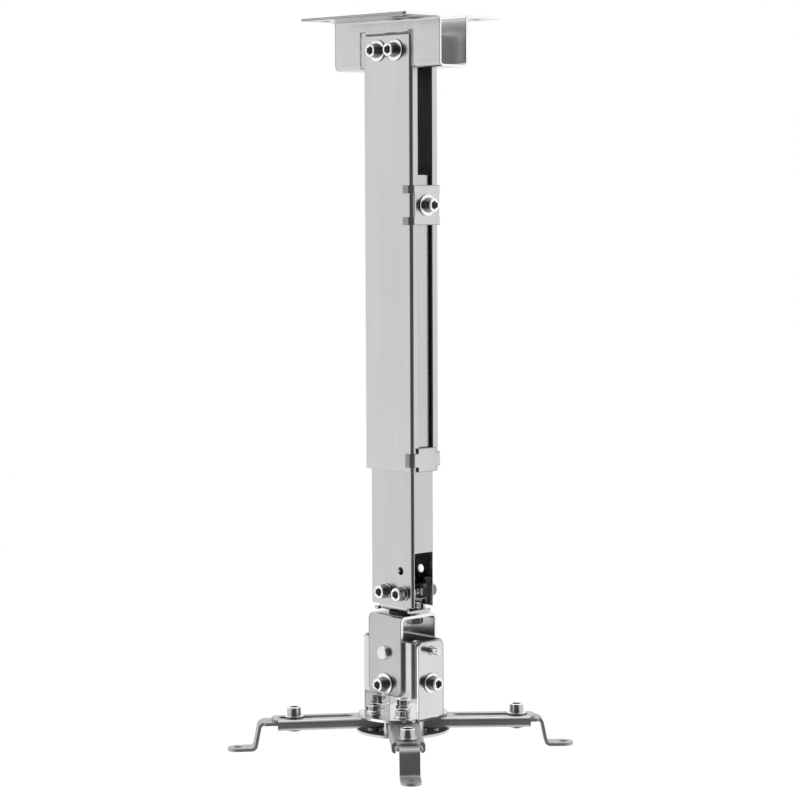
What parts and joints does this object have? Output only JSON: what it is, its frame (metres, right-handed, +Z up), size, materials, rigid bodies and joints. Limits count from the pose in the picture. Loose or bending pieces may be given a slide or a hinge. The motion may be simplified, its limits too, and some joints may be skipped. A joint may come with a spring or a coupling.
{
  "type": "projector ceiling mount",
  "caption": "Telescopic steel projector ceiling mount: folded bracket, clamped sliding tubes, tilt head, slotted arms with Z feet.",
  "frame": {"origin": "on the column's axis in the ceiling plane, at the middle of the four ceiling screws", "axes": "+Z up into the ceiling; +X along the ceiling bracket, with the tube's slot on its +X side; -Y is the broad side that the picture shows on its left"},
  "size_m": [0.173, 0.1783, 0.4779],
  "materials": {
    "bracket_steel": "zinc plated folded sheet, satin",
    "tube_steel": "zinc plated tube, satin",
    "inner_tube_steel": "zinc plated tube, darker and satin",
    "head_steel": "zinc plated folded sheet, satin",
    "arm_steel": "zinc plated folded channel, satin",
    "fastener_steel": "bright zinc plated",
    "friction_disc": "dark matt washer"
  },
  "bodies": {
    "ceiling": {"ceiling_bracket": "bracket_steel", "outer_tube": "tube_steel", "slot_end_clip": "tube_steel", "top_bolts": "fastener_steel", "top_washers": "fastener_steel", "top_spring_washers": "fastener_steel", "top_nuts": "fastener_steel"},
    "column": {"inner_tube": "inner_tube_steel", "clamp_plate": "tube_steel", "clamp_bolt": "fastener_steel", "clamp_washer": "fastener_steel", "clamp_spring_washer": "fastener_steel", "clamp_nut": "fastener_steel", "shoe": "head_steel", "shoe_bolts": "fastener_steel", "shoe_washers": "fastener_steel", "shoe_spring_washers": "fastener_steel", "shoe_nuts": "fastener_steel"},
    "yoke": {"yoke": "head_steel", "pan_washer": "friction_disc", "pan_rivet": "fastener_steel", "pan_lock_bolt": "fastener_steel", "pan_lock_washer": "fastener_steel", "pan_lock_nut": "fastener_steel", "roll_rivets": "fastener_steel", "roll_lock_bolts": "fastener_steel", "roll_lock_washers": "fastener_steel", "roll_lock_spring_washers": "fastener_steel", "roll_lock_nuts": "fastener_steel"},
    "block": {"tilt_block": "head_steel", "pitch_pins": "fastener_steel"},
    "cradle": {"cradle": "head_steel", "pitch_lock_bolts": "fastener_steel", "pitch_lock_washers": "fastener_steel", "pitch_lock_spring_washers": "fastener_steel", "pitch_lock_nuts": "fastener_steel", "lower_disc": "head_steel", "hub_bolts": "fastener_steel", "hub_spacers": "fastener_steel", "hub_nuts": "fastener_steel"},
    "arm_front": {"arm_front": "arm_steel"},
    "foot_front": {"foot_front": "arm_steel", "foot_bolt_front": "fastener_steel", "foot_washer_front": "fastener_steel", "foot_nut_front": "fastener_steel"},
    "arm_left": {"arm_left": "arm_steel"},
    "foot_left": {"foot_left": "arm_steel", "foot_bolt_left": "fastener_steel", "foot_washer_left": "fastener_steel", "foot_nut_left": "fastener_steel"},
    "arm_rear": {"arm_rear": "arm_steel"},
    "foot_rear": {"foot_rear": "arm_steel", "foot_bolt_rear": "fastener_steel", "foot_washer_rear": "fastener_steel", "foot_nut_rear": "fastener_steel"},
    "arm_right": {"arm_right": "arm_steel"},
    "foot_right": {"foot_right": "arm_steel", "foot_bolt_right": "fastener_steel", "foot_washer_right": "fastener_steel", "foot_nut_right": "fastener_steel"}
  },
  "joints": [
    {"name": "height", "type": "slide", "parent": "ceiling", "child": "column", "axis": [0, 0, -1], "range_m": [-0.06, 0.14]},
    {"name": "pan", "type": "hinge", "parent": "column", "child": "yoke", "pos_m": [0, 0, -0.387], "axis": [0, 0, 1], "range_deg": [-8, 8]},
    {"name": "roll", "type": "hinge", "parent": "yoke", "child": "block", "pos_m": [0, 0, -0.4135], "axis": [0, 1, 0], "range_deg": [-15, 15]},
    {"name": "pitch", "type": "hinge", "parent": "block", "child": "cradle", "pos_m": [0, 0, -0.4107], "axis": [1, 0, 0], "range_deg": [-15, 15]},
    {"name": "swing_front", "type": "hinge", "parent": "cradle", "child": "arm_front", "pos_m": [0.013, -0.013, -0.458], "axis": [0, 0, 1], "range_deg": [-44.5, 35.5]},
    {"name": "reach_front", "type": "slide", "parent": "arm_front", "child": "foot_front", "axis": [0.7604, -0.6494, 0], "range_m": [-0.031, 0.0034]},
    {"name": "swing_left", "type": "hinge", "parent": "cradle", "child": "arm_left", "pos_m": [-0.013, -0.013, -0.458], "axis": [0, 0, 1], "range_deg": [-49, 31]},
    {"name": "reach_left", "type": "slide", "parent": "arm_left", "child": "foot_left", "axis": [-0.5878, -0.809, 0], "range_m": [-0.028, 0.0064]},
    {"name": "swing_rear", "type": "hinge", "parent": "cradle", "child": "arm_rear", "pos_m": [-0.013, 0.013, -0.458], "axis": [0, 0, 1], "range_deg": [-40, 40]},
    {"name": "reach_rear", "type": "slide", "parent": "arm_rear", "child": "foot_rear", "axis": [-0.7071, 0.7071, 0], "range_m": [-0.031, 0.0034]},
    {"name": "swing_right", "type": "hinge", "parent": "cradle", "child": "arm_right", "pos_m": [0.013, 0.013, -0.458], "axis": [0, 0, 1], "range_deg": [-43, 37]},
    {"name": "reach_right", "type": "slide", "parent": "arm_right", "child": "foot_right", "axis": [0.6691, 0.7431, 0], "range_m": [-0.0308, 0.0036]}
  ]
}
